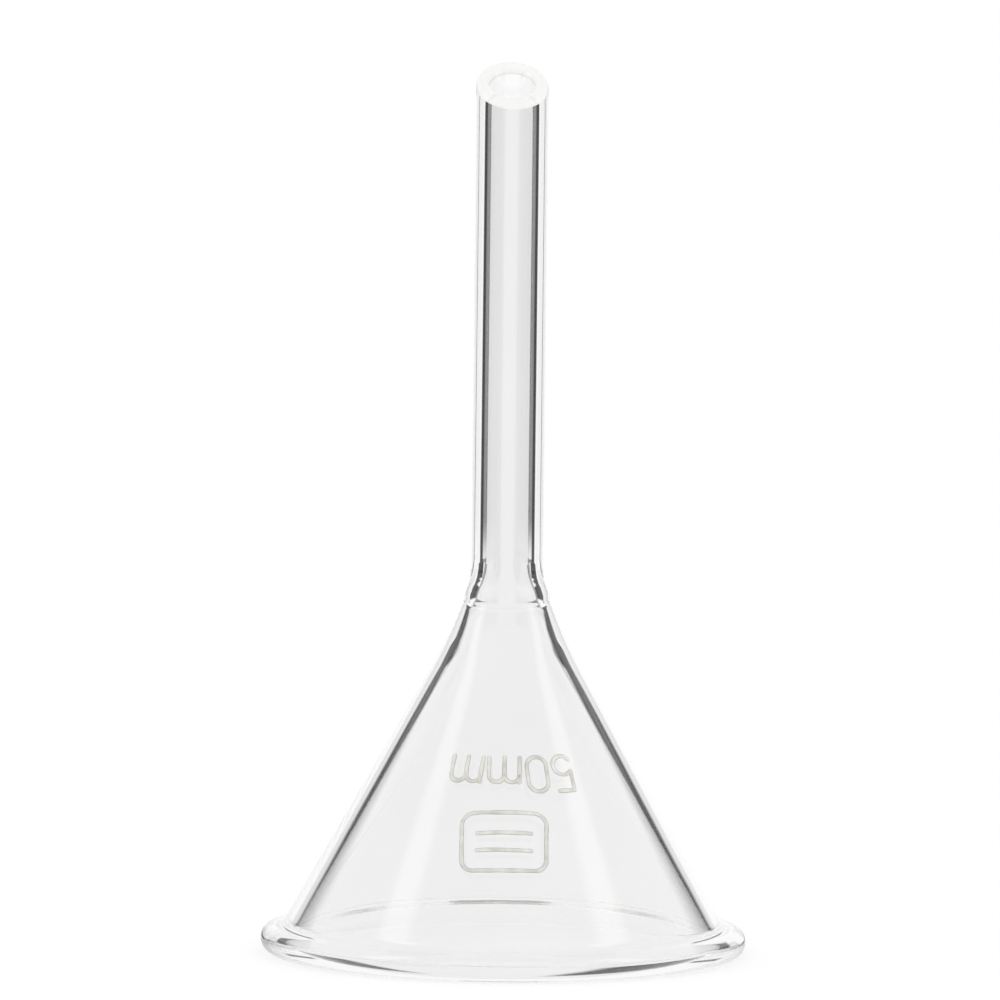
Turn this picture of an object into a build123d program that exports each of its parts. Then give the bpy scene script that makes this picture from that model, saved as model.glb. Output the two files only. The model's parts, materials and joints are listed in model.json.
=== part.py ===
from build123d import *
import os
from math import cos, radians, sin, tan

# Glass funnel with a 50 mm mouth, a 60 degree class bowl and a bevelled stem.
#
# Millimetres, +Z up. The origin is the centre of the mouth plane: the funnel
# stands on its rim with the stem pointing up, and the open side of the bevelled
# tip faces -Y. The marks are on the -Y side of the bowl, and they read the right
# way up when the funnel is in use, with its stem down.
#
# All the glass is one fused article. Each glass node is one of the parts that
# the glassblower joins, and the nodes meet face to face at their seams.

# Rim
MOUTH_DIAMETER = 50.0        # over the bead
BEAD_DIAMETER = 2.9          # section of the bead rolled outwards round the mouth
BEAD_FLAT_DEPTH = 0.05       # how far the bead is flattened where it rests
BEAD_FILLET = 1.5            # glass drawn up between the bead and the wall
BEAD_REACH = 2.8             # up the wall, from the bead's middle to its seam

# Bowl
BOWL_HALF_ANGLE = 29.4       # from the axis to the wall
BOWL_WALL = 1.5
STRAIGHT_REACH = 33.0        # up the wall, from the bead's middle to the throat's curve
THROAT_INSIDE = (3.75, 35.65)    # radius and height where the bowl ends in the neck
THROAT_OUTSIDE = (4.75, 35.90)

# Stem
STEM_DIAMETER = 7.5
STEM_BORE = 4.6
STEM_BASE = 41.0             # height of the seam between the neck seal and the stem
TIP_HIGH = 92.05             # highest point of the bevelled tip, before polishing
TIP_LOW = 88.20              # lowest point of its open side
BEVEL_TURN = 4.0             # degrees that the open side is turned from -Y to +X
TIP_POLISH = 0.4             # edge radius left by fire polishing

# Neck seal, as radius and height going up: a faint ring over a groove outside,
# and inside a shoulder that steps down to the stem's bore in soft waves
SEAL_OUTSIDE = [(4.46, 36.55), (4.38, 37.10), (4.20, 37.75), (3.94, 38.55)]
SEAL_INSIDE = [(3.47, 36.20), (3.30, 36.70), (3.12, 37.25), (2.90, 37.85), (2.64, 38.60), (2.44, 39.40)]
SEAL_STRAIGHT = 39.8         # height above which the seal's outside is as straight as the stem

# Enamel marks
ENAMEL_THICKNESS = 0.08
STROKE_WIDTH = 0.42
MARK_HEIGHT = 20.15          # height of the middle of the size number
DIGIT_SIZE = (2.05, 3.80)    # width and height, between the middles of the strokes
LETTER_SIZE = (3.15, 2.75)
FIGURES = [("five", 6.30), ("zero", 3.40), ("m", -0.05), ("m", -4.05)]   # place along the girth, to +X
PANEL_HEIGHT = 13.70         # height of the middle of the write-on panel
PANEL_SIZE = (8.80, 6.40)
PANEL_CORNER = 1.30
PANEL_RULES = [-0.95, 0.95]  # writing lines, up and down from the panel's middle
PANEL_RULE_LENGTH = 5.60
ENAMEL_BAND = (8.0, 26.0)    # heights between which the marks lie
PROJECTION_DEPTH = 2.5       # how deep a flat figure is pressed to reach the curved wall

# Worked out from the above
BEAD_RADIUS = BEAD_DIAMETER / 2
BEAD_MIDDLE = (MOUTH_DIAMETER / 2 - BEAD_RADIUS, BEAD_RADIUS - BEAD_FLAT_DEPTH)
SLOPE = radians(BOWL_HALF_ANGLE)
DOWN_WALL = (sin(SLOPE), -cos(SLOPE))
UP_WALL = (-sin(SLOPE), cos(SLOPE))
STEM_RADIUS = STEM_DIAMETER / 2
BORE_RADIUS = STEM_BORE / 2


def wall_point(reach, depth):
    """Radius and height of the point `reach` up the wall and `depth` out from its inner face."""
    out = depth - BEAD_RADIUS
    radius = BEAD_MIDDLE[0] - reach * sin(SLOPE) + out * cos(SLOPE)
    height = BEAD_MIDDLE[1] + reach * cos(SLOPE) + out * sin(SLOPE)
    return (radius, height)


def outer_radius(height, proud=0.0):
    """Radius of the wall's outer face at a height, or of a face that stands proud of it."""
    radius, foot = wall_point(0, BOWL_WALL + proud)
    return radius - (height - foot) * tan(SLOPE)


def turned(outline):
    """Solid of revolution about Z, from a closed outline drawn as radius and height."""
    return revolve(Plane.XZ * make_face(Curve() + outline), Axis.Z)


def make_rim_bead():
    """Bead, tangent to the wall's inner face, flattened at its foot and filleted to the outer face."""
    fillet_depth = BOWL_WALL + BEAD_FILLET
    fillet_distance = BEAD_RADIUS + BEAD_FILLET
    fillet_reach = (fillet_distance ** 2 - (fillet_depth - BEAD_RADIUS) ** 2) ** 0.5
    fillet_middle = wall_point(fillet_reach, fillet_depth)
    share = BEAD_RADIUS / fillet_distance
    fillet_foot = tuple(b + (f - b) * share for b, f in zip(BEAD_MIDDLE, fillet_middle))
    fillet_top = wall_point(fillet_reach, BOWL_WALL)
    half_flat = (BEAD_RADIUS ** 2 - BEAD_MIDDLE[1] ** 2) ** 0.5
    flat_inner = (BEAD_MIDDLE[0] - half_flat, 0)
    flat_outer = (BEAD_MIDDLE[0] + half_flat, 0)
    seam_inner = wall_point(BEAD_REACH, 0)
    seam_outer = wall_point(BEAD_REACH, BOWL_WALL)
    return turned([
        Line(seam_inner, wall_point(0, 0)),
        TangentArc(wall_point(0, 0), flat_inner, tangent=DOWN_WALL),
        Line(flat_inner, flat_outer),
        ThreePointArc(flat_outer, (MOUTH_DIAMETER / 2, BEAD_MIDDLE[1]), fillet_foot),
        TangentArc(fillet_top, fillet_foot, tangent=DOWN_WALL),
        Line(fillet_top, seam_outer),
        Line(seam_outer, seam_inner),
    ])


def make_bowl():
    """Straight conical wall that curves inwards to a narrow throat."""
    curve_inner = wall_point(STRAIGHT_REACH, 0)
    curve_outer = wall_point(STRAIGHT_REACH, BOWL_WALL)
    seam_inner = wall_point(BEAD_REACH, 0)
    seam_outer = wall_point(BEAD_REACH, BOWL_WALL)
    return turned([
        Line(seam_inner, curve_inner),
        TangentArc(curve_inner, THROAT_INSIDE, tangent=UP_WALL),
        Line(THROAT_INSIDE, THROAT_OUTSIDE),
        TangentArc(curve_outer, THROAT_OUTSIDE, tangent=UP_WALL),
        Line(curve_outer, seam_outer),
        Line(seam_outer, seam_inner),
    ])


def leaving(start, end):
    """Direction in which a wall face that curves from its straight part reaches an end point."""
    chord = (Vector(*end) - Vector(*start)).normalized()
    upwards = Vector(*UP_WALL)
    return chord * (2 * chord.dot(upwards)) - upwards


def make_neck_seal():
    """Fused joint between the bowl's throat and the stem."""
    leaving_outside = leaving(wall_point(STRAIGHT_REACH, BOWL_WALL), THROAT_OUTSIDE)
    leaving_inside = leaving(wall_point(STRAIGHT_REACH, 0), THROAT_INSIDE)
    outside = [THROAT_OUTSIDE] + SEAL_OUTSIDE + [(STEM_RADIUS, SEAL_STRAIGHT)]
    inside = [THROAT_INSIDE] + SEAL_INSIDE + [(BORE_RADIUS, STEM_BASE)]
    return turned([
        Spline(*outside, tangents=[leaving_outside, (0, 1)]),
        Line(outside[-1], (STEM_RADIUS, STEM_BASE)),
        Line((STEM_RADIUS, STEM_BASE), inside[-1]),
        Spline(*inside, tangents=[leaving_inside, (0, 1)]),
        Line(THROAT_INSIDE, THROAT_OUTSIDE),
    ])


def make_stem():
    """Length of tubing, cut on a bevel and fire polished at the tip."""
    length = TIP_HIGH - STEM_BASE
    ring = Circle(STEM_RADIUS) - Circle(BORE_RADIUS)
    tube = extrude(Plane.XY.offset(STEM_BASE) * ring, amount=length)
    turn = radians(BEVEL_TURN)
    across = Vector(cos(turn), sin(turn), 0)
    rising = Vector(-sin(turn) * STEM_DIAMETER, cos(turn) * STEM_DIAMETER, TIP_HIGH - TIP_LOW)
    bevel = Plane(origin=(0, 0, (TIP_HIGH + TIP_LOW) / 2), x_dir=across, z_dir=across.cross(rising))
    stem = split(tube, bisect_by=bevel, keep=Keep.BOTTOM)
    tip_edges = stem.edges().filter_by(GeomType.ELLIPSE)
    return fillet(tip_edges, TIP_POLISH)


def straight_stroke(start, end):
    """Straight pen stroke with round ends."""
    run = Vector(*end) - Vector(*start)
    middle = (Vector(*start) + Vector(*end)) / 2
    angle = Vector(1, 0).get_signed_angle(run)
    return Pos(middle) * SlotCenterToCenter(run.length, STROKE_WIDTH, rotation=angle)


def arc_stroke(middle, radius, start_angle, sweep):
    """Curved pen stroke with round ends."""
    return SlotArc(CenterArc(middle, radius, start_angle, sweep), STROKE_WIDTH)


def figure_five():
    """Figure 5, drawn about its own middle."""
    half_width, half_height = DIGIT_SIZE[0] / 2, DIGIT_SIZE[1] / 2
    belly_middle = (0, half_width - half_height)
    belly_start = 145
    back = half_width * cos(radians(belly_start))
    belly_top = belly_middle[1] + half_width * sin(radians(belly_start))
    return (
        straight_stroke((back, half_height), (half_width * 0.85, half_height))
        + straight_stroke((back, half_height), (back, belly_top))
        + arc_stroke(belly_middle, half_width, belly_start, -2 * belly_start)
    )


def figure_zero():
    """Figure 0: two straight sides between two half circles."""
    half_width, half_height = DIGIT_SIZE[0] / 2, DIGIT_SIZE[1] / 2
    shoulder = half_height - half_width
    return (
        straight_stroke((-half_width, -shoulder), (-half_width, shoulder))
        + straight_stroke((half_width, -shoulder), (half_width, shoulder))
        + arc_stroke((0, shoulder), half_width, 0, 180)
        + arc_stroke((0, -shoulder), half_width, 180, 180)
    )


def letter_m():
    """Small letter m, on the digits' line: three legs joined by two half circles."""
    half_width, foot = LETTER_SIZE[0] / 2, -DIGIT_SIZE[1] / 2
    top = foot + LETTER_SIZE[1]
    arch = half_width / 2
    spring = top - arch
    return (
        straight_stroke((-half_width, foot), (-half_width, top))
        + straight_stroke((0, foot), (0, spring))
        + straight_stroke((half_width, foot), (half_width, spring))
        + arc_stroke((-arch, spring), arch, 0, 180)
        + arc_stroke((arch, spring), arch, 0, 180)
    )


def panel_figure():
    """Outline of the write-on panel, with its writing lines."""
    width, height = PANEL_SIZE
    half_stroke = STROKE_WIDTH / 2
    outer = RectangleRounded(width + STROKE_WIDTH, height + STROKE_WIDTH, PANEL_CORNER + half_stroke)
    inner = RectangleRounded(width - STROKE_WIDTH, height - STROKE_WIDTH, PANEL_CORNER - half_stroke)
    half_rule = PANEL_RULE_LENGTH / 2
    rules = [straight_stroke((-half_rule, rule), (half_rule, rule)) for rule in PANEL_RULES]
    return (outer - inner) + rules


def enamel_skin():
    """Thin conical skin that lies on the wall's outer face and holds every mark."""
    low, high = ENAMEL_BAND
    corners = [
        (outer_radius(low), low),
        (outer_radius(low, ENAMEL_THICKNESS), low),
        (outer_radius(high, ENAMEL_THICKNESS), high),
        (outer_radius(high), high),
    ]
    return turned(Polyline(*corners, close=True))


def fired_on(figure, height, girth=0.0):
    """Enamel in the shape of a flat figure, on the wall at a height and a place along its girth."""
    radius = outer_radius(height)
    turn = girth / radius
    outward = Vector(cos(SLOPE) * sin(turn), -cos(SLOPE) * cos(turn), sin(SLOPE))
    reading = Vector(-cos(turn), -sin(turn), 0)
    spot = Plane(origin=(radius * sin(turn), -radius * cos(turn), height), x_dir=reading, z_dir=outward)
    return extrude(spot * figure, amount=PROJECTION_DEPTH, both=True) & enamel_skin()


def make_size_mark():
    """Size number, 50 mm, upside down while the funnel stands on its rim."""
    figures = {"five": figure_five(), "zero": figure_zero(), "m": letter_m()}
    return Compound(children=[fired_on(figures[name], MARK_HEIGHT, girth) for name, girth in FIGURES])


def make_marking_panel():
    """Blank write-on panel between the size number and the rim."""
    return fired_on(panel_figure(), PANEL_HEIGHT)


NODES = {
    "rim_bead": make_rim_bead,
    "bowl": make_bowl,
    "neck_seal": make_neck_seal,
    "stem": make_stem,
    "size_mark": make_size_mark,
    "marking_panel": make_marking_panel,
}

os.makedirs("parts", exist_ok=True)
for name, make in NODES.items():
    export_step(make(), f"parts/{name}.step")
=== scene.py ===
import json
from math import atan2, ceil, cos, hypot, pi, radians, sin, tan

import bpy
from mathutils import Matrix, Vector, noise


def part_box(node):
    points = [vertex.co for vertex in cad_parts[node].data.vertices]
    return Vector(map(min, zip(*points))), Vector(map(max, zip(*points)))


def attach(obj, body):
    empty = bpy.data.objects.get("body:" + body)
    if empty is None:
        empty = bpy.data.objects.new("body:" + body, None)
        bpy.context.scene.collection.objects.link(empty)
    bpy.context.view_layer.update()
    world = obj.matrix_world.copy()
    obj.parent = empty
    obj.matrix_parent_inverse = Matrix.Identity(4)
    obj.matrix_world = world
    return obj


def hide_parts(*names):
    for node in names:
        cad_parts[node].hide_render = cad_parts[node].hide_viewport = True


# Glass funnel standing on its rim. Sizes are in millimetres until a mesh is made.

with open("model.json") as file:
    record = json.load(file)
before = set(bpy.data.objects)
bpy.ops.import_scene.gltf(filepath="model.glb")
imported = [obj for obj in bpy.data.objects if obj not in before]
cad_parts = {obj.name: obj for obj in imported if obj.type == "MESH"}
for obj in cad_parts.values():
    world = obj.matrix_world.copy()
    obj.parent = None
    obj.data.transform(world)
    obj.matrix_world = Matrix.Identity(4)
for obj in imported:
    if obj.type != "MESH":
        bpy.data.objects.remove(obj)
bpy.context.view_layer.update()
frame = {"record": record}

MM = 0.001


def mount(name):
    """The record's mount of that name."""
    return next(m for m in frame["record"]["mounts"] if m["name"] == name)


# ---------------------------------------------------------------- sizes

MOUTH_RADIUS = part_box("rim_bead")[1][0] / MM
STEM_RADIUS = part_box("stem")[1][0] / MM
STEM_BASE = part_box("stem")[0][2] / MM
BORE_RADIUS = mount("stem_bore")["dims"]["r_mm"]

BEAD_RADIUS = 1.45
BEAD_FLAT_DEPTH = 0.05       # how far below its round section the bead's middle lies
BEAD_FILLET = 1.5            # glass drawn up between the bead and the wall
BEAD_REACH = 2.8             # up the wall, from the bead's middle to its seam
BEAD_LIFT = 0.01             # height of the bead's round foot
SLOPE = radians(29.4)        # from the axis to the wall
BOWL_WALL = 1.5
STRAIGHT_REACH = 33.0        # up the wall, from the bead's middle to the throat's curve
THROAT_INSIDE = (3.75, 35.65)    # radius and height where the bowl ends in the neck
THROAT_OUTSIDE = (4.75, 35.90)

# Neck seal, as radius and height going up
SEAL_OUTSIDE = [(4.46, 36.55), (4.38, 37.10), (4.20, 37.75), (3.94, 38.55)]
SEAL_INSIDE = [(3.47, 36.20), (3.30, 36.70), (3.12, 37.25), (2.90, 37.85), (2.64, 38.60), (2.44, 39.40)]
SEAL_STRAIGHT = 39.8         # height above which the seal's outside is as straight as the stem

# Bevelled tip
TIP_HIGH = 92.0
TIP_LOW = 88.20
TIP_ROUNDING = 0.62
BEVEL_TURN = radians(4)      # how far the open side is turned from -Y to +X

# Enamel marks
STROKE_WIDTH = 0.44
STROKE_HEIGHT = 0.07
STROKE_SUNK = 0.02           # how deep a stroke's edges lie in the wall
MARK_HEIGHT = 20.15          # height of the middle of the size number
DIGIT_SIZE = (2.05, 3.80)    # width and height, between the middles of the strokes
LETTER_SIZE = (3.15, 2.75)
FIGURES = [("five", 6.30), ("zero", 3.40), ("m", -0.05), ("m", -4.05)]   # place along the girth, to +X
PANEL_HEIGHT = 13.70
PANEL_SIZE = (8.80, 6.40)
PANEL_CORNER = 1.30
PANEL_RULES = (-0.95, 0.95)  # writing lines, up and down from the panel's middle
PANEL_RULE_LENGTH = 5.60

# Meshes: divisions round the axis, and steps along the profiles
ROUND = 288
WALL_STEP = 0.8
COLLAR_STEP = 0.4
THROAT_STEP = 0.2
SEAL_STEP = 0.12
BEAD_STEP = 0.1
LIP_STEP = 0.06

BEAD_MIDDLE = (MOUTH_RADIUS - BEAD_RADIUS, BEAD_RADIUS - BEAD_FLAT_DEPTH)
DOWN_WALL = (sin(SLOPE), -cos(SLOPE))
UP_WALL = (-sin(SLOPE), cos(SLOPE))
TIP_MIDDLE = (TIP_HIGH + TIP_LOW) / 2
TIP_RISE = (TIP_HIGH - TIP_LOW) / (2 * STEM_RADIUS)


# ---------------------------------------------------------------- profiles

def wall_point(reach, depth):
    """Radius and height of the point `reach` up the bowl's wall and `depth` out from its inner face."""
    out = depth - BEAD_RADIUS
    radius = BEAD_MIDDLE[0] - reach * sin(SLOPE) + out * cos(SLOPE)
    height = BEAD_MIDDLE[1] + reach * cos(SLOPE) + out * sin(SLOPE)
    return (radius, height)


def straight(start, end, step):
    """Points on a straight line, both ends included."""
    count = max(1, ceil(hypot(end[0] - start[0], end[1] - start[1]) / step))
    return [tuple(a + (b - a) * i / count for a, b in zip(start, end)) for i in range(count + 1)]


def arc(start, end, tangent, step):
    """Points on the arc that leaves start along tangent and ends at end."""
    chord = Vector(end) - Vector(start)
    along = Vector(tangent).normalized()
    across = Vector((-along.y, along.x))
    side = chord.dot(across)
    radius = chord.length_squared / (2 * side)
    middle = Vector(start) + across * radius
    turn = 2 * atan2(side, chord.dot(along))
    count = max(2, ceil(abs(turn * radius) / step))
    spoke = Vector(start) - middle
    return [tuple(middle + Matrix.Rotation(turn * i / count, 2) @ spoke) for i in range(count + 1)]


def smooth_curve(points, leaving, arriving, step):
    """Points on a smooth curve through the given ones, with its directions at both ends."""
    places = [Vector(p) for p in points]
    slopes = [Vector(leaving).normalized() * (places[1] - places[0]).length]
    slopes += [(places[i + 1] - places[i - 1]) / 2 for i in range(1, len(places) - 1)]
    slopes += [Vector(arriving).normalized() * (places[-1] - places[-2]).length]
    curve = []
    for i in range(len(places) - 1):
        count = max(2, ceil((places[i + 1] - places[i]).length / step))
        for t in (k / count for k in range(count)):
            curve.append(tuple(
                (2 * t**3 - 3 * t**2 + 1) * places[i]
                + (t**3 - 2 * t**2 + t) * slopes[i]
                + (3 * t**2 - 2 * t**3) * places[i + 1]
                + (t**3 - t**2) * slopes[i + 1]
            ))
    return curve + [tuple(points[-1])]


def looseness(height):
    """How much the glass wobbles: fully in the hand-worked bowl, hardly in the drawn tube."""
    return min(1.0, max(0.15, (STEM_BASE - height) / 12))


def outer_wobble(turn, height):
    """How far the outer face stands out of true, never beyond the CAD model."""
    loose = looseness(height)
    return loose * (0.028 * cos(2 * turn + 0.9) + 0.018 * cos(3 * turn - 0.5 + 0.04 * height) - 0.048)


def inner_wobble(turn, height):
    """How far the inner face stands out of true."""
    loose = looseness(height)
    return loose * (0.035 * cos(turn + 2.4 + 0.012 * height) + 0.022 * cos(2 * turn - 1.2 + 0.05 * height))


# ---------------------------------------------------------------- materials

GLASS_IOR = 1.47
NOISE_SPAN = (0.3, 0.7)      # where nearly all of a noise texture's values lie


def new_material(name):
    """Empty node material, with its output node and a Principled shader."""
    material = bpy.data.materials.new(name)
    material.use_nodes = True
    nodes = material.node_tree.nodes
    return material, nodes, material.node_tree.links, nodes["Principled BSDF"]


def noise_texture(nodes, links, scale, detail, stretch=(1, 1, 1)):
    """Noise over the object's own coordinates, stretched along its axes."""
    place = nodes.new("ShaderNodeTexCoord")
    mapping = nodes.new("ShaderNodeMapping")
    mapping.inputs["Scale"].default_value = stretch
    links.new(place.outputs["Object"], mapping.inputs["Vector"])
    texture = nodes.new("ShaderNodeTexNoise")
    texture.inputs["Scale"].default_value = scale
    texture.inputs["Detail"].default_value = detail
    links.new(mapping.outputs["Vector"], texture.inputs["Vector"])
    return texture.outputs["Fac"]


def ramp(nodes, links, value, low, high):
    """Colour between low and high, as a noise goes through its span."""
    node = nodes.new("ShaderNodeValToRGB")
    for element, place, colour in zip(node.color_ramp.elements, NOISE_SPAN, (low, high)):
        element.position = place
        element.color = (*colour, 1)
    links.new(value, node.inputs["Fac"])
    return node.outputs["Color"]


def remap(nodes, links, value, low, high):
    """Number between low and high, as a noise goes through its span."""
    node = nodes.new("ShaderNodeMapRange")
    for name, number in zip(("From Min", "From Max", "To Min", "To Max"), (*NOISE_SPAN, low, high)):
        node.inputs[name].default_value = number
    links.new(value, node.inputs["Value"])
    return node.outputs["Result"]


def bump(nodes, links, height, distance, shader):
    """Relief of that height on the shader."""
    node = nodes.new("ShaderNodeBump")
    node.inputs["Distance"].default_value = distance
    links.new(height, node.inputs["Height"])
    links.new(node.outputs["Normal"], shader.inputs["Normal"])


def glass_material():
    """Clear borosilicate glass: a faint green-grey tint and slow waves left by hand working."""
    material, nodes, links, shader = new_material("clear_glass")
    shader.inputs["Transmission Weight"].default_value = 1
    shader.inputs["IOR"].default_value = GLASS_IOR
    shader.inputs["Roughness"].default_value = 0
    tint = noise_texture(nodes, links, 60, 2)
    colour = ramp(nodes, links, tint, (0.945, 0.950, 0.945), (0.962, 0.965, 0.961))
    links.new(colour, shader.inputs["Base Color"])
    waves = noise_texture(nodes, links, 160, 1, (1, 1, 0.35))
    bump(nodes, links, waves, 0.000012, shader)
    return material


def seam_material():
    """Where two fused pieces meet: glass runs on through it, so nothing shows."""
    material, nodes, links, shader = new_material("fused_seam")
    shader.inputs["Alpha"].default_value = 0
    return material


def ground_material():
    """Finely ground glass of the bevelled tip, softened by a light fire polish."""
    material, nodes, links, shader = new_material("ground_tip")
    shader.inputs["Transmission Weight"].default_value = 0.15
    shader.inputs["IOR"].default_value = GLASS_IOR
    shader.inputs["Base Color"].default_value = (0.95, 0.95, 0.932, 1)
    grain = noise_texture(nodes, links, 4000, 3)
    links.new(remap(nodes, links, grain, 0.14, 0.24), shader.inputs["Roughness"])
    bump(nodes, links, grain, 0.00001, shader)
    return material


def enamel_material():
    """Thin fired enamel, warm grey, patchy and slightly grainy."""
    material, nodes, links, shader = new_material("fired_enamel")
    patches = noise_texture(nodes, links, 700, 4)
    colour = ramp(nodes, links, patches, (0.60, 0.585, 0.53), (0.82, 0.81, 0.76))
    links.new(colour, shader.inputs["Base Color"])
    links.new(remap(nodes, links, patches, 0.55, 0.35), shader.inputs["Roughness"])
    grain = noise_texture(nodes, links, 5000, 3)
    bump(nodes, links, grain, 0.00001, shader)
    return material


GLASS = glass_material()
SEAM = seam_material()
GROUND = ground_material()
ENAMEL = enamel_material()


# ---------------------------------------------------------------- glass pieces

INSIDE, OUTSIDE = (0, 0), (1, 1)         # sides that a stretch of a profile runs between
INWARDS, OUTWARDS = (1, 0), (0, 1)
POLISHED, FUSED, MATT = 0, 1, 2          # finishes, each the number of a material slot


def lathe_ring(point, side, turn):
    """Radius and height of a profile's point at a turn about the axis. side is 0 inside, 1 outside."""
    radius, height = point
    return radius + side * outer_wobble(turn, height) + (1 - side) * inner_wobble(turn, height), height


def stem_ring(point, side, turn):
    """The same, for the stem: the tube is stretched to end on the bevel."""
    radius, height = lathe_ring(point, side, turn)
    bevel = TIP_MIDDLE + TIP_RISE * radius * cos(turn - pi / 2 - BEVEL_TURN)
    return radius, STEM_BASE + (height - STEM_BASE) * (bevel - STEM_BASE) / (TIP_MIDDLE - STEM_BASE)


def glass_piece(name, stretches, ring=lathe_ring):
    """Closed glass piece turned about the axis. Each stretch of its profile is its points, the
    sides that it runs between (0 inside, 1 outside) and its finish."""
    profile = []
    crease = set()
    for points, sides, finish in stretches:
        if finish == FUSED:
            crease |= {len(profile), len(profile) + len(points) - 1}
        for i, point in enumerate(points[:-1]):
            side = sides[0] + (sides[1] - sides[0]) * i / (len(points) - 1)
            profile.append((point, side, finish))
    turns = [2 * pi * k / ROUND for k in range(ROUND)]
    vertices = []
    for point, side, finish in profile:
        for turn in turns:
            radius, height = ring(point, side, turn)
            vertices.append((radius * cos(turn) * MM, radius * sin(turn) * MM, height * MM))
    count = len(profile)
    crease = {i % count for i in crease}
    faces = []
    for i in range(count):
        low, high = i * ROUND, (i + 1) % count * ROUND
        for k in range(ROUND):
            after = (k + 1) % ROUND
            faces.append((low + k, low + after, high + after, high + k))
    mesh = bpy.data.meshes.new(name)
    mesh.from_pydata(vertices, [], faces)
    mesh.polygons.foreach_set("material_index", [profile[f // ROUND][2] for f in range(len(faces))])
    mesh.shade_smooth()
    for edge in mesh.edges:
        first, second = (v // ROUND for v in edge.vertices)
        edge.use_edge_sharp = first == second and first in crease
    for material in (GLASS, SEAM, GROUND)[:max(p[2] for p in profile) + 1]:
        mesh.materials.append(material)
    place_piece(name, mesh)


def place_piece(name, mesh):
    """Object of that mesh, in place of the CAD node of the same name."""
    piece = bpy.data.objects.new(name + "_look", mesh)
    bpy.context.scene.collection.objects.link(piece)
    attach(piece, "root")
    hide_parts(name)


def make_rim_bead():
    """Round bead with a fillet up to the wall's outer face."""
    fillet_depth = BOWL_WALL + BEAD_FILLET
    fillet_distance = BEAD_RADIUS + BEAD_FILLET
    fillet_reach = (fillet_distance ** 2 - (fillet_depth - BEAD_RADIUS) ** 2) ** 0.5
    fillet_middle = wall_point(fillet_reach, fillet_depth)
    share = BEAD_RADIUS / fillet_distance
    fillet_foot = tuple(b + (f - b) * share for b, f in zip(BEAD_MIDDLE, fillet_middle))
    fillet_top = wall_point(fillet_reach, BOWL_WALL)
    foot = (BEAD_MIDDLE[0], BEAD_LIFT)
    seam_inner = wall_point(BEAD_REACH, 0)
    seam_outer = wall_point(BEAD_REACH, BOWL_WALL)
    glass_piece("rim_bead", [
        (straight(seam_inner, wall_point(0, 0), COLLAR_STEP), INSIDE, POLISHED),
        (arc(wall_point(0, 0), foot, DOWN_WALL, BEAD_STEP), INSIDE, POLISHED),
        (arc(foot, fillet_foot, (1, 0), BEAD_STEP), OUTSIDE, POLISHED),
        (arc(fillet_top, fillet_foot, DOWN_WALL, BEAD_STEP)[::-1], OUTSIDE, POLISHED),
        (straight(fillet_top, seam_outer, COLLAR_STEP), OUTSIDE, POLISHED),
        ([seam_outer, seam_inner], INWARDS, FUSED),
    ])


def make_bowl():
    """Straight conical wall that curves inwards to the throat."""
    seam_inner = wall_point(BEAD_REACH, 0)
    seam_outer = wall_point(BEAD_REACH, BOWL_WALL)
    curve_inner = wall_point(STRAIGHT_REACH, 0)
    curve_outer = wall_point(STRAIGHT_REACH, BOWL_WALL)
    glass_piece("bowl", [
        (straight(seam_outer, curve_outer, WALL_STEP), OUTSIDE, POLISHED),
        (arc(curve_outer, THROAT_OUTSIDE, UP_WALL, THROAT_STEP), OUTSIDE, POLISHED),
        ([THROAT_OUTSIDE, THROAT_INSIDE], INWARDS, FUSED),
        (arc(curve_inner, THROAT_INSIDE, UP_WALL, THROAT_STEP)[::-1], INSIDE, POLISHED),
        (straight(curve_inner, seam_inner, WALL_STEP), INSIDE, POLISHED),
        ([seam_inner, seam_outer], OUTWARDS, FUSED),
    ])


def throat_direction(start, end):
    """Direction of the bowl's curve where it ends in the neck."""
    run = arc(start, end, UP_WALL, 0.05)     # steps so fine that the last one has the curve's direction
    return Vector(run[-1]) - Vector(run[-2])


def make_neck_seal():
    """Fused joint: a faint ring and groove outside, and a waved shoulder inside."""
    straight_foot = (STEM_RADIUS, SEAL_STRAIGHT)
    base_outer = (STEM_RADIUS, STEM_BASE)
    base_inner = (BORE_RADIUS, STEM_BASE)
    outside = [THROAT_OUTSIDE] + SEAL_OUTSIDE + [straight_foot]
    inside = [THROAT_INSIDE] + SEAL_INSIDE + [base_inner]
    leaving_outside = throat_direction(wall_point(STRAIGHT_REACH, BOWL_WALL), THROAT_OUTSIDE)
    leaving_inside = throat_direction(wall_point(STRAIGHT_REACH, 0), THROAT_INSIDE)
    glass_piece("neck_seal", [
        (smooth_curve(outside, leaving_outside, (0, 1), SEAL_STEP), OUTSIDE, POLISHED),
        (straight(straight_foot, base_outer, COLLAR_STEP), OUTSIDE, POLISHED),
        ([base_outer, base_inner], INWARDS, FUSED),
        (smooth_curve(inside, leaving_inside, (0, 1), SEAL_STEP)[::-1], INSIDE, POLISHED),
        ([THROAT_INSIDE, THROAT_OUTSIDE], OUTWARDS, FUSED),
    ])


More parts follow.
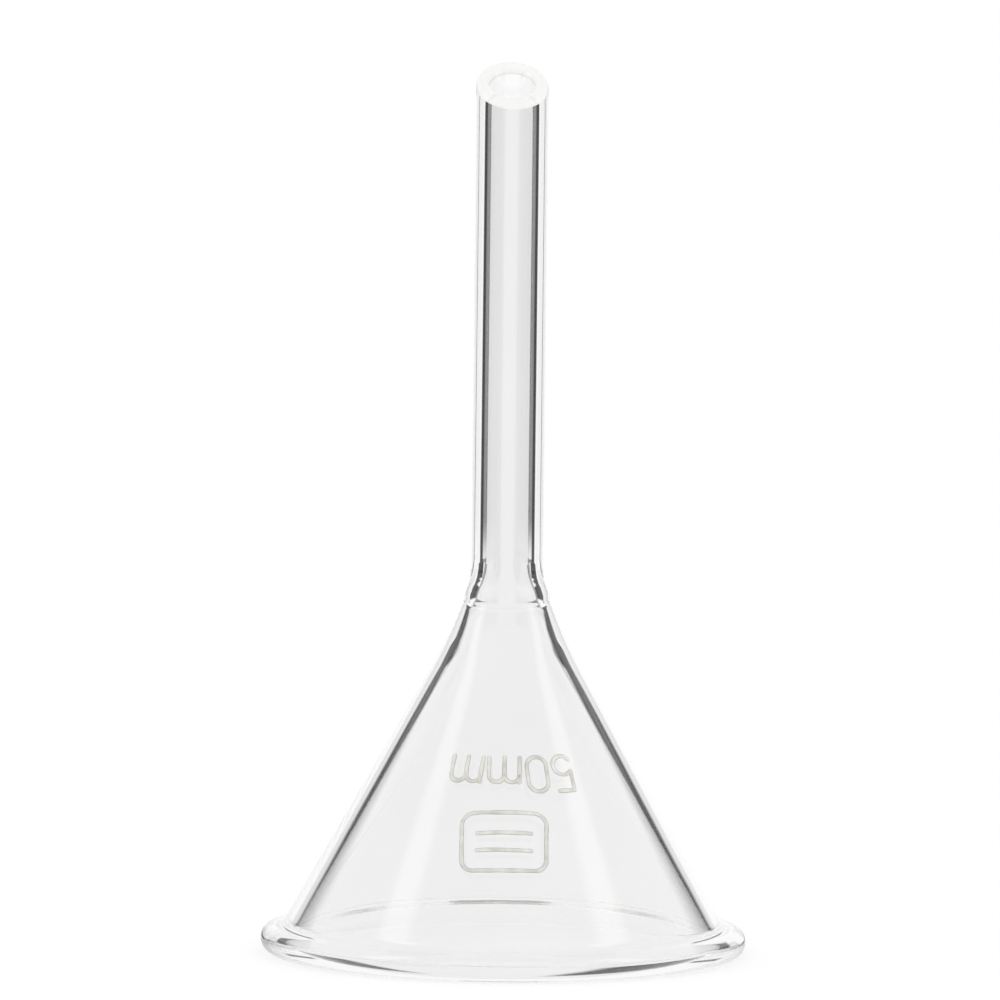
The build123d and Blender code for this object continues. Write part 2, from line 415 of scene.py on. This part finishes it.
def make_stem():
    """Straight tube with a rounded lip, drawn square and then stretched to the bevel."""
    base_outer = (STEM_RADIUS, STEM_BASE)
    base_inner = (BORE_RADIUS, STEM_BASE)
    lip_foot = TIP_MIDDLE - TIP_ROUNDING
    flat_outer = (STEM_RADIUS - TIP_ROUNDING, TIP_MIDDLE)
    flat_inner = (BORE_RADIUS + TIP_ROUNDING, TIP_MIDDLE)
    glass_piece("stem", [
        (straight(base_outer, (STEM_RADIUS, lip_foot), WALL_STEP), OUTSIDE, POLISHED),
        (arc((STEM_RADIUS, lip_foot), flat_outer, (0, 1), LIP_STEP), OUTSIDE, MATT),
        (straight(flat_outer, flat_inner, LIP_STEP), INWARDS, MATT),
        (arc(flat_inner, (BORE_RADIUS, lip_foot), (-1, 0), LIP_STEP), INSIDE, MATT),
        (straight((BORE_RADIUS, lip_foot), base_inner, WALL_STEP), INSIDE, POLISHED),
        ([base_inner, base_outer], OUTWARDS, FUSED),
    ], stem_ring)


make_rim_bead()
make_bowl()
make_neck_seal()
make_stem()


# ---------------------------------------------------------------- enamel marks

WALL_FOOT = wall_point(0, BOWL_WALL)
APEX_HEIGHT = WALL_FOOT[1] + WALL_FOOT[0] / tan(SLOPE)
BELLY_START = 145            # degrees, where the five's round belly leaves its back
BELLY_SWEEP = -290
FIVE_BEND = 0.12             # rounding of the five's upper corner
FIVE_BAR = 0.85              # reach of its bar, as a share of half its width
LINE_STEP = 0.1
CURVE_STEP = 0.08
UNEVEN_WIDTH = 0.22          # how much a stroke's width and height vary, as shares
UNEVEN_CROWN = 0.3
STROKE_DRIFT = 0.05          # how far it strays from its path
END_SHARES = (0.97, 0.85, 0.6, 0.25)     # a stroke's width towards its round end
SECTION = 8                  # divisions across a stroke's crowned top


def on_wall(x, y, proud, height, girth):
    """Place in metres of a point of a flat figure, x to its right and y up, rolled onto the bowl."""
    to_apex = (APEX_HEIGHT - height) / cos(SLOPE)
    reach = hypot(to_apex + y, x)
    facing = girth / (to_apex * sin(SLOPE)) - atan2(x, to_apex + y) / sin(SLOPE)
    z = APEX_HEIGHT - reach * cos(SLOPE)
    out = proud + outer_wobble(facing - pi / 2, z)
    radius = reach * sin(SLOPE) + out * cos(SLOPE)
    return (radius * sin(facing) * MM, -radius * cos(facing) * MM, (z + out * sin(SLOPE)) * MM)


def swing(middle, radius, start, sweep):
    """Points of an arc, with its start and sweep in degrees."""
    count = max(2, ceil(abs(radians(sweep)) * radius / CURVE_STEP))
    turns = [radians(start + sweep * i / count) for i in range(count + 1)]
    return [(middle[0] + radius * cos(t), middle[1] + radius * sin(t)) for t in turns]


def line(start, end):
    """Points of a straight run of a stroke."""
    return straight(start, end, LINE_STEP)


def join(*runs):
    """One path from runs that meet end to end."""
    path = list(runs[0])
    for run in runs[1:]:
        path += run[1:]
    return path


def figure_five():
    """Five: a bar, a back and a round belly, in one stroke."""
    half_width, half_height = DIGIT_SIZE[0] / 2, DIGIT_SIZE[1] / 2
    belly_middle = (0, half_width - half_height)
    back = half_width * cos(radians(BELLY_START))
    belly_top = belly_middle[1] + half_width * sin(radians(BELLY_START))
    corner = swing((back + FIVE_BEND, half_height - FIVE_BEND), FIVE_BEND, 90, 90)
    return [(join(
        line((half_width * FIVE_BAR, half_height), corner[0]),
        corner,
        line(corner[-1], (back, belly_top)),
        swing(belly_middle, half_width, BELLY_START, BELLY_SWEEP),
    ), False)]


def figure_zero():
    """Zero: two straight sides and two half rounds, closed."""
    half_width, half_height = DIGIT_SIZE[0] / 2, DIGIT_SIZE[1] / 2
    shoulder = half_height - half_width
    return [(join(
        line((half_width, -shoulder), (half_width, shoulder)),
        swing((0, shoulder), half_width, 0, 180),
        line((-half_width, shoulder), (-half_width, -shoulder)),
        swing((0, -shoulder), half_width, 180, 180),
    )[:-1], True)]


def letter_m():
    """Small m: a stem and two arches."""
    half_width, foot = LETTER_SIZE[0] / 2, -DIGIT_SIZE[1] / 2
    top = foot + LETTER_SIZE[1]
    arch = half_width / 2
    spring = top - arch
    strokes = [(line((-half_width, top), (-half_width, foot)), False)]
    for x in (-arch, arch):
        strokes.append((join(
            swing((x, spring), arch, 180, -180),
            line((x + arch, spring), (x + arch, foot)),
        ), False))
    return strokes


def panel_figure():
    """Write-on panel: an outline with round corners, and its writing lines."""
    half_width, half_height = PANEL_SIZE[0] / 2, PANEL_SIZE[1] / 2
    x, y = half_width - PANEL_CORNER, half_height - PANEL_CORNER
    corners = [
        swing(middle, PANEL_CORNER, start, 90)
        for middle, start in (((x, y), 0), ((-x, y), 90), ((-x, -y), 180), ((x, -y), 270))
    ]
    outline = []
    for i, corner in enumerate(corners):
        outline += corner[:-1] + line(corner[-1], corners[(i + 1) % 4][0])[:-1]
    half_rule = PANEL_RULE_LENGTH / 2
    rules = [(line((-half_rule, rule), (half_rule, rule)), False) for rule in PANEL_RULES]
    return [(outline, True)] + rules


def add_stroke(vertices, faces, path, closed, height, girth):
    """One raised pen stroke: a crowned strip along the path, with round ends and an uneven width."""
    count = len(path)
    rows = []
    for i, (x, y) in enumerate(path):
        before = path[i - 1] if closed or i else path[i]
        after = path[(i + 1) % count] if closed or i < count - 1 else path[i]
        run = Vector((after[0] - before[0], after[1] - before[1])).normalized()
        rows.append((Vector((x, y)), run, 1.0))
    if not closed:
        ends = []
        for share in END_SHARES:
            ends.append((share, (1 - share ** 2) ** 0.5 * STROKE_WIDTH / 2))
        first, last = rows[0], rows[-1]
        rows = [(first[0] - first[1] * out, first[1], share) for share, out in reversed(ends)] + rows
        rows += [(last[0] + last[1] * out, last[1], share) for share, out in ends]
    base = len(vertices)
    ring = SECTION + 1
    for middle, run, share in rows:
        across = Vector((-run.y, run.x))
        uneven = noise.noise(Vector((middle.x * 0.9 + girth * 3.1, middle.y * 0.9, height)))
        half = STROKE_WIDTH / 2 * share * (1 + UNEVEN_WIDTH * uneven)
        drift = STROKE_DRIFT * noise.noise(Vector((middle.x * 0.5, middle.y * 0.5 + girth, 7.3)))
        crown = STROKE_HEIGHT * (0.35 + 0.65 * share) * (1 + UNEVEN_CROWN * uneven)
        for k in range(ring):
            u = 2 * k / SECTION - 1
            spot = middle + across * (half * u + drift)
            proud = crown * (1 - u ** 4) - STROKE_SUNK
            vertices.append(on_wall(spot.x, spot.y, proud, height, girth))
    total = len(rows)
    for i in range(total if closed else total - 1):
        low, high = base + i * ring, base + (i + 1) % total * ring
        for k in range(ring):
            after = (k + 1) % ring
            faces.append((low + k, high + k, high + after, low + after))
    if not closed:
        faces.append(tuple(base + k for k in range(ring)))
        faces.append(tuple(base + (total - 1) * ring + k for k in reversed(range(ring))))


def enamel_piece(name, figures):
    """Enamel strokes on the bowl. Each figure is its strokes, its height and its place on the girth."""
    vertices, faces = [], []
    for strokes, height, girth in figures:
        for path, closed in strokes:
            add_stroke(vertices, faces, path, closed, height, girth)
    mesh = bpy.data.meshes.new(name)
    mesh.from_pydata(vertices, [], faces)
    mesh.shade_smooth()
    mesh.materials.append(ENAMEL)
    place_piece(name, mesh)


SHAPES = {"five": figure_five(), "zero": figure_zero(), "m": letter_m()}
enamel_piece("size_mark", [(SHAPES[name], MARK_HEIGHT, girth) for name, girth in FIGURES])
enamel_piece("marking_panel", [(panel_figure(), PANEL_HEIGHT, 0.0)])


# ---------------------------------------------------------------- studio

# Lengths from here on are in metres.
FLOOR_DROP = 0.00005         # how far the floor lies under the bead's foot
FLOOR_HALF_SIZE = 6.0
FLOOR_COLOUR = 0.25
FLOOR_GLOW = 0.77            # share of the floor's whiteness that doesn't depend on shadows

# What the glass sees by reflection or through both of its walls is a white room with black flags.
# Directions are from the funnel; edges are pairs of values that a flag fades between.
FLAG_BRIGHTNESS = 0.02       # what is left of the light on a flag
CORNER_FLAG = (0.50, 0.66)   # |cos 2a| that a corner flag reaches, a being the direction
TABLE_CORNER = (0.20, 0.50)  # the same for a flag on the table
SLIT = (0.105, 0.165)        # half width of the white slit between the upper flags, as |sin 2a|
SLIT_SHIFT = 0.04            # how far the slit is off the middle
UPPER_FLAG = (0.125, 0.165)  # sine of the elevation where the upper flags start
LIGHT_CEILING = (0.42, 0.52)     # and where they end
LOW_CEILING = (0.25, 0.32)   # sine of the elevation where the corner flags end, for reflected light
TABLE_FLAGS = (0.03, 0.05)   # distances where the flags on the table start, for reflected light
FAR_FLAGS = (0.34, 0.40)     # and for light that passes straight through
SIDE_SHADE = 0.25            # brightness of the table's sides beyond that
REFLECTED_DEPTH = 0.5        # more reflections than this mean that the glass has reflected the light
DEEP_REFLECTION = 3.5        # more than this and the room is white again
CROSSED_LIGHT = 0.93         # brightness of the room behind both walls
CARD_RADIUS = 0.046          # white ring round the funnel that lights the bead's far side
CARD_HEIGHT = 0.0105
CARD_SIDES = 96
CROSSED_DEPTH = 2.5          # more transmissions than this mean that light has crossed both walls
SOFTBOX_SIZE = (0.26, 0.35)
SOFTBOX_CENTRE = (0.7065, -0.2316, 0.669)    # direction of the right softbox
SOFTBOX_DISTANCE = 0.7
SOFTBOX_STRENGTH = 2.6
SOFTBOX_FADE = (0.15, 0.5)   # shares of its width between which a softbox dims to the room's white
AIM_HEIGHT = 0.02            # height on the axis that the softboxes face


def feed(links, socket, value):
    """Sets a socket from a number or another socket."""
    if isinstance(value, bpy.types.NodeSocket):
        links.new(value, socket)
    else:
        socket.default_value = value


def maths(nodes, links, operation, *values):
    """Math node over numbers or sockets."""
    node = nodes.new("ShaderNodeMath")
    node.operation = operation
    for socket, value in zip(node.inputs, values):
        feed(links, socket, value)
    return node.outputs[0]


def smooth_step(nodes, links, value, edges, low, high):
    """Value that goes from low to high between two edges."""
    node = nodes.new("ShaderNodeMapRange")
    node.interpolation_type = "SMOOTHSTEP"
    names = ("Value", "From Min", "From Max", "To Min", "To Max")
    for name, number in zip(names, (value, *edges, low, high)):
        feed(links, node.inputs[name], number)
    return node.outputs[0]


def mix_value(nodes, links, factor, low, high):
    """Value between low and high, by factor."""
    node = nodes.new("ShaderNodeMix")
    node.data_type = "FLOAT"
    for socket, value in zip((node.inputs[0], node.inputs[2], node.inputs[3]), (factor, low, high)):
        feed(links, socket, value)
    return node.outputs[0]


def crossed_light(nodes, links, path):
    """1 for light that has passed through both walls of the glass, else 0."""
    return maths(nodes, links, "GREATER_THAN", path.outputs["Transmission Depth"], CROSSED_DEPTH)


def flagged(nodes, links, direction, floor):
    """Brightness of the room in a direction from the funnel, or at a place on the floor. Black flags
    show only to light that the glass has reflected or that has passed through both of its walls. To
    the camera and to lit surfaces all is white."""
    path = nodes.new("ShaderNodeLightPath")
    reflected = maths(nodes, links, "GREATER_THAN", path.outputs["Glossy Depth"], REFLECTED_DEPTH)
    crossed = crossed_light(nodes, links, path)
    parts = nodes.new("ShaderNodeSeparateXYZ")
    links.new(direction, parts.inputs[0])
    x, y, z = parts.outputs
    xx = maths(nodes, links, "MULTIPLY", x, x)
    yy = maths(nodes, links, "MULTIPLY", y, y)
    total = maths(nodes, links, "ADD", maths(nodes, links, "ADD", xx, yy), 1e-9)
    difference = maths(nodes, links, "SUBTRACT", xx, yy)
    spread = maths(nodes, links, "DIVIDE", maths(nodes, links, "ABSOLUTE", difference), total)
    corners = smooth_step(nodes, links, spread, TABLE_CORNER if floor else CORNER_FLAG, 0, 1)
    if floor:
        distance = maths(nodes, links, "SQRT", total)
        near = smooth_step(nodes, links, distance, TABLE_FLAGS, 1, 0)
        far = smooth_step(nodes, links, distance, FAR_FLAGS, 0, 1)
        sideways = maths(nodes, links, "GREATER_THAN", difference, 0)
        shaded = mix_value(nodes, links, maths(nodes, links, "MULTIPLY", sideways, far), 1, SIDE_SHADE)
        flags = maths(nodes, links, "MULTIPLY", corners, shaded)
        by_reflection = maths(nodes, links, "MAXIMUM", flags, near)
        by_crossing = mix_value(nodes, links, far, 1, corners)
    else:
        product = maths(nodes, links, "MULTIPLY", maths(nodes, links, "MULTIPLY", x, y), 2)
        off_axis = maths(nodes, links, "ADD", maths(nodes, links, "DIVIDE", product, total), SLIT_SHIFT)
        slit = smooth_step(nodes, links, maths(nodes, links, "ABSOLUTE", off_axis), SLIT, 1, 0)
        upper = smooth_step(nodes, links, z, UPPER_FLAG, 0, 1)
        ceiling = smooth_step(nodes, links, z, LIGHT_CEILING, 0, 1)
        low_ceiling = smooth_step(nodes, links, z, LOW_CEILING, 0, 1)
        by_reflection = maths(nodes, links, "MAXIMUM", corners, low_ceiling)
        by_crossing = maths(nodes, links, "MAXIMUM", mix_value(nodes, links, upper, corners, slit), ceiling)
    dimmed = maths(nodes, links, "MULTIPLY", by_crossing, CROSSED_LIGHT)
    through = mix_value(nodes, links, crossed, 1, dimmed)
    seen = mix_value(nodes, links, reflected, through, by_reflection)
    deep = maths(nodes, links, "GREATER_THAN", path.outputs["Glossy Depth"], DEEP_REFLECTION)
    lit = maths(nodes, links, "MAXIMUM", seen, deep)
    return maths(nodes, links, "MAXIMUM", lit, FLAG_BRIGHTNESS)


def make_world():
    """Room beyond the floor's edge, white to the camera."""
    world = bpy.data.worlds.new("studio")
    world.use_nodes = True
    nodes, links = world.node_tree.nodes, world.node_tree.links
    place = nodes.new("ShaderNodeTexCoord")
    brightness = flagged(nodes, links, place.outputs["Generated"], False)
    background = nodes["Background"]
    background.inputs["Color"].default_value = (1, 1, 1, 1)
    links.new(brightness, background.inputs["Strength"])
    bpy.context.scene.world = world


def make_floor():
    """White table that takes soft shadows, with the flags on it as the glass sees them."""
    mesh = bpy.data.meshes.new("floor")
    half = FLOOR_HALF_SIZE
    corners = [(x, y, -FLOOR_DROP) for x, y in ((-half, -half), (half, -half), (half, half), (-half, half))]
    mesh.from_pydata(corners, [], [(0, 1, 2, 3)])
    floor = bpy.data.objects.new("floor", mesh)
    bpy.context.scene.collection.objects.link(floor)
    material, nodes, links, shader = new_material("floor")
    place = nodes.new("ShaderNodeNewGeometry")
    brightness = flagged(nodes, links, place.outputs["Position"], True)
    shader.inputs["Base Color"].default_value = (FLOOR_COLOUR, FLOOR_COLOUR, FLOOR_COLOUR, 1)
    shader.inputs["Roughness"].default_value = 1
    shader.inputs["Specular IOR Level"].default_value = 0
    shader.inputs["Emission Color"].default_value = (1, 1, 1, 1)
    shader.inputs["Emission Strength"].default_value = FLOOR_GLOW
    glow = nodes.new("ShaderNodeEmission")
    links.new(brightness, glow.inputs["Strength"])
    mix = nodes.new("ShaderNodeMixShader")
    # Where no flag lies, the floor is lit like any table and takes shadows.
    on_flag = maths(nodes, links, "LESS_THAN", brightness, 0.999)
    links.new(on_flag, mix.inputs["Fac"])
    links.new(shader.outputs[0], mix.inputs[1])
    links.new(glow.outputs[0], mix.inputs[2])
    links.new(mix.outputs[0], nodes["Material Output"].inputs["Surface"])
    mesh.materials.append(material)


def make_softbox(name, side):
    """Light panel that shows only as a highlight on the glass. side is -1 on the left, 1 on the right."""
    across, along, up = SOFTBOX_CENTRE
    towards = Vector((side * across, along, up)).normalized()
    width, length = SOFTBOX_SIZE
    mesh = bpy.data.meshes.new(name)
    w, h = width / 2, length / 2
    mesh.from_pydata([(-w, -h, 0), (w, -h, 0), (w, h, 0), (-w, h, 0)], [], [(0, 1, 2, 3)])
    panel = bpy.data.objects.new(name, mesh)
    bpy.context.scene.collection.objects.link(panel)
    panel.location = towards * SOFTBOX_DISTANCE + Vector((0, 0, AIM_HEIGHT))
    panel.rotation_euler = towards.to_track_quat("Z", "Y").to_euler()
    material, nodes, links, shader = new_material(name)
    nodes.remove(shader)
    place = nodes.new("ShaderNodeTexCoord")
    parts = nodes.new("ShaderNodeSeparateXYZ")
    links.new(place.outputs["Object"], parts.inputs[0])
    from_middle = maths(nodes, links, "ABSOLUTE", parts.outputs[0])
    edges = [share * width for share in SOFTBOX_FADE]
    brightness = smooth_step(nodes, links, from_middle, edges, SOFTBOX_STRENGTH, 1)
    light = nodes.new("ShaderNodeEmission")
    links.new(brightness, light.inputs["Strength"])
    links.new(light.outputs[0], nodes["Material Output"].inputs["Surface"])
    mesh.materials.append(material)
    panel.visible_camera = False
    panel.visible_diffuse = False
    panel.visible_transmission = False
    panel.visible_shadow = False


def make_bounce_card():
    """Low white ring round the funnel, seen only by light that has passed through both walls."""
    mesh = bpy.data.meshes.new("bounce_card")
    vertices = []
    for height in (0.0, CARD_HEIGHT):
        for i in range(CARD_SIDES):
            turn = 2 * pi * i / CARD_SIDES
            vertices.append((CARD_RADIUS * cos(turn), CARD_RADIUS * sin(turn), height))
    faces = []
    for i in range(CARD_SIDES):
        after = (i + 1) % CARD_SIDES
        faces.append((i, after, CARD_SIDES + after, CARD_SIDES + i))
    mesh.from_pydata(vertices, [], faces)
    card = bpy.data.objects.new("bounce_card", mesh)
    bpy.context.scene.collection.objects.link(card)
    material, nodes, links, shader = new_material("bounce_card")
    nodes.remove(shader)
    crossed = crossed_light(nodes, links, nodes.new("ShaderNodeLightPath"))
    mix = nodes.new("ShaderNodeMixShader")
    links.new(crossed, mix.inputs["Fac"])
    links.new(nodes.new("ShaderNodeBsdfTransparent").outputs[0], mix.inputs[1])
    light = nodes.new("ShaderNodeEmission")
    light.inputs["Strength"].default_value = CROSSED_LIGHT
    links.new(light.outputs[0], mix.inputs[2])
    links.new(mix.outputs[0], nodes["Material Output"].inputs["Surface"])
    mesh.materials.append(material)
    card.visible_camera = False
    card.visible_diffuse = False
    card.visible_glossy = False
    card.visible_shadow = False


make_world()
make_floor()
make_bounce_card()
make_softbox("softbox_left", -1)
make_softbox("softbox_right", 1)


# ---------------------------------------------------------------- camera

DISTANCE = 4.0
ELEVATION = radians(6.55)
ROLL = radians(0.65)
AIM = Vector((-0.00081, 0, 0.0469))
FRAME_WIDTH = 0.10267        # width of the picture, at the funnel's axis
SENSOR_WIDTH = 36

camera_data = bpy.data.cameras.new("camera")
camera_data.sensor_width = SENSOR_WIDTH
camera_data.lens = SENSOR_WIDTH * DISTANCE / FRAME_WIDTH
camera_data.clip_end = 100
camera = bpy.data.objects.new("camera", camera_data)
bpy.context.scene.collection.objects.link(camera)
back = Vector((0, -cos(ELEVATION), sin(ELEVATION)))
camera.location = AIM + back * DISTANCE
upright = back.to_track_quat("Z", "Y").to_matrix().to_4x4()
camera.rotation_euler = (upright @ Matrix.Rotation(ROLL, 4, "Z")).to_euler()

scene = bpy.context.scene
scene.camera = camera
scene.view_settings.view_transform = "Standard"

# Light circles many times inside the bead before it leaves the glass.
scene.cycles.max_bounces = 96
scene.cycles.transmission_bounces = 64
scene.cycles.glossy_bounces = 64
scene.cycles.transparent_max_bounces = 32
